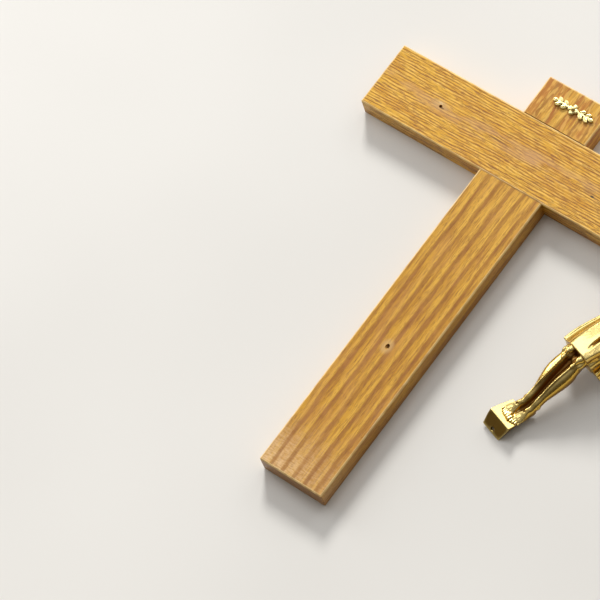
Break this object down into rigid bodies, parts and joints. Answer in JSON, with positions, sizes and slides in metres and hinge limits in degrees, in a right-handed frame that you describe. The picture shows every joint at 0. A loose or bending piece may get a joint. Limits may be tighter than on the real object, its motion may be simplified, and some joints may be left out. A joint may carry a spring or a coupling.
{
  "type": "wall crucifix with loose figure",
  "caption": "Wall cross of two half-lapped oak boards with an openwork brass ornament, and its cast brass figure on a foot block lying loose beside it.",
  "frame": {"origin": "middle of the crossing, on the back face of the cross, which lies on the table", "axes": "+Z out of the front face, +Y up the post to its top, +X along the crossbar to the viewer's right"},
  "size_m": [0.2596, 0.2471, 0.0295],
  "materials": {
    "oak_post": "satin varnish over straight-grained oak",
    "oak_bar": "satin varnish over flecked oak",
    "polished_brass": "polished cast brass",
    "plate_brass": "satin brass plate",
    "screw_steel": "zinc-plated steel"
  },
  "bodies": {
    "cross": {"upright_post": "oak_post", "crossbar": "oak_bar", "lap_screws": "screw_steel", "hanger_plate": "plate_brass", "hanger_screws": "screw_steel", "titulus_ornament": "polished_brass"},
    "figure": {"corpus_body": "polished_brass", "crown_of_thorns": "polished_brass", "arm_left": "polished_brass", "arm_right": "polished_brass", "shoulder_dowels": "screw_steel", "foot_block": "polished_brass", "foot_block_screws": "screw_steel"}
  },
  "joints": [
    {"name": "figure_lift", "type": "slide", "parent": "cross", "child": "figure", "axis": [0, 0, 1], "range_m": [0, 0.06]}
  ]
}
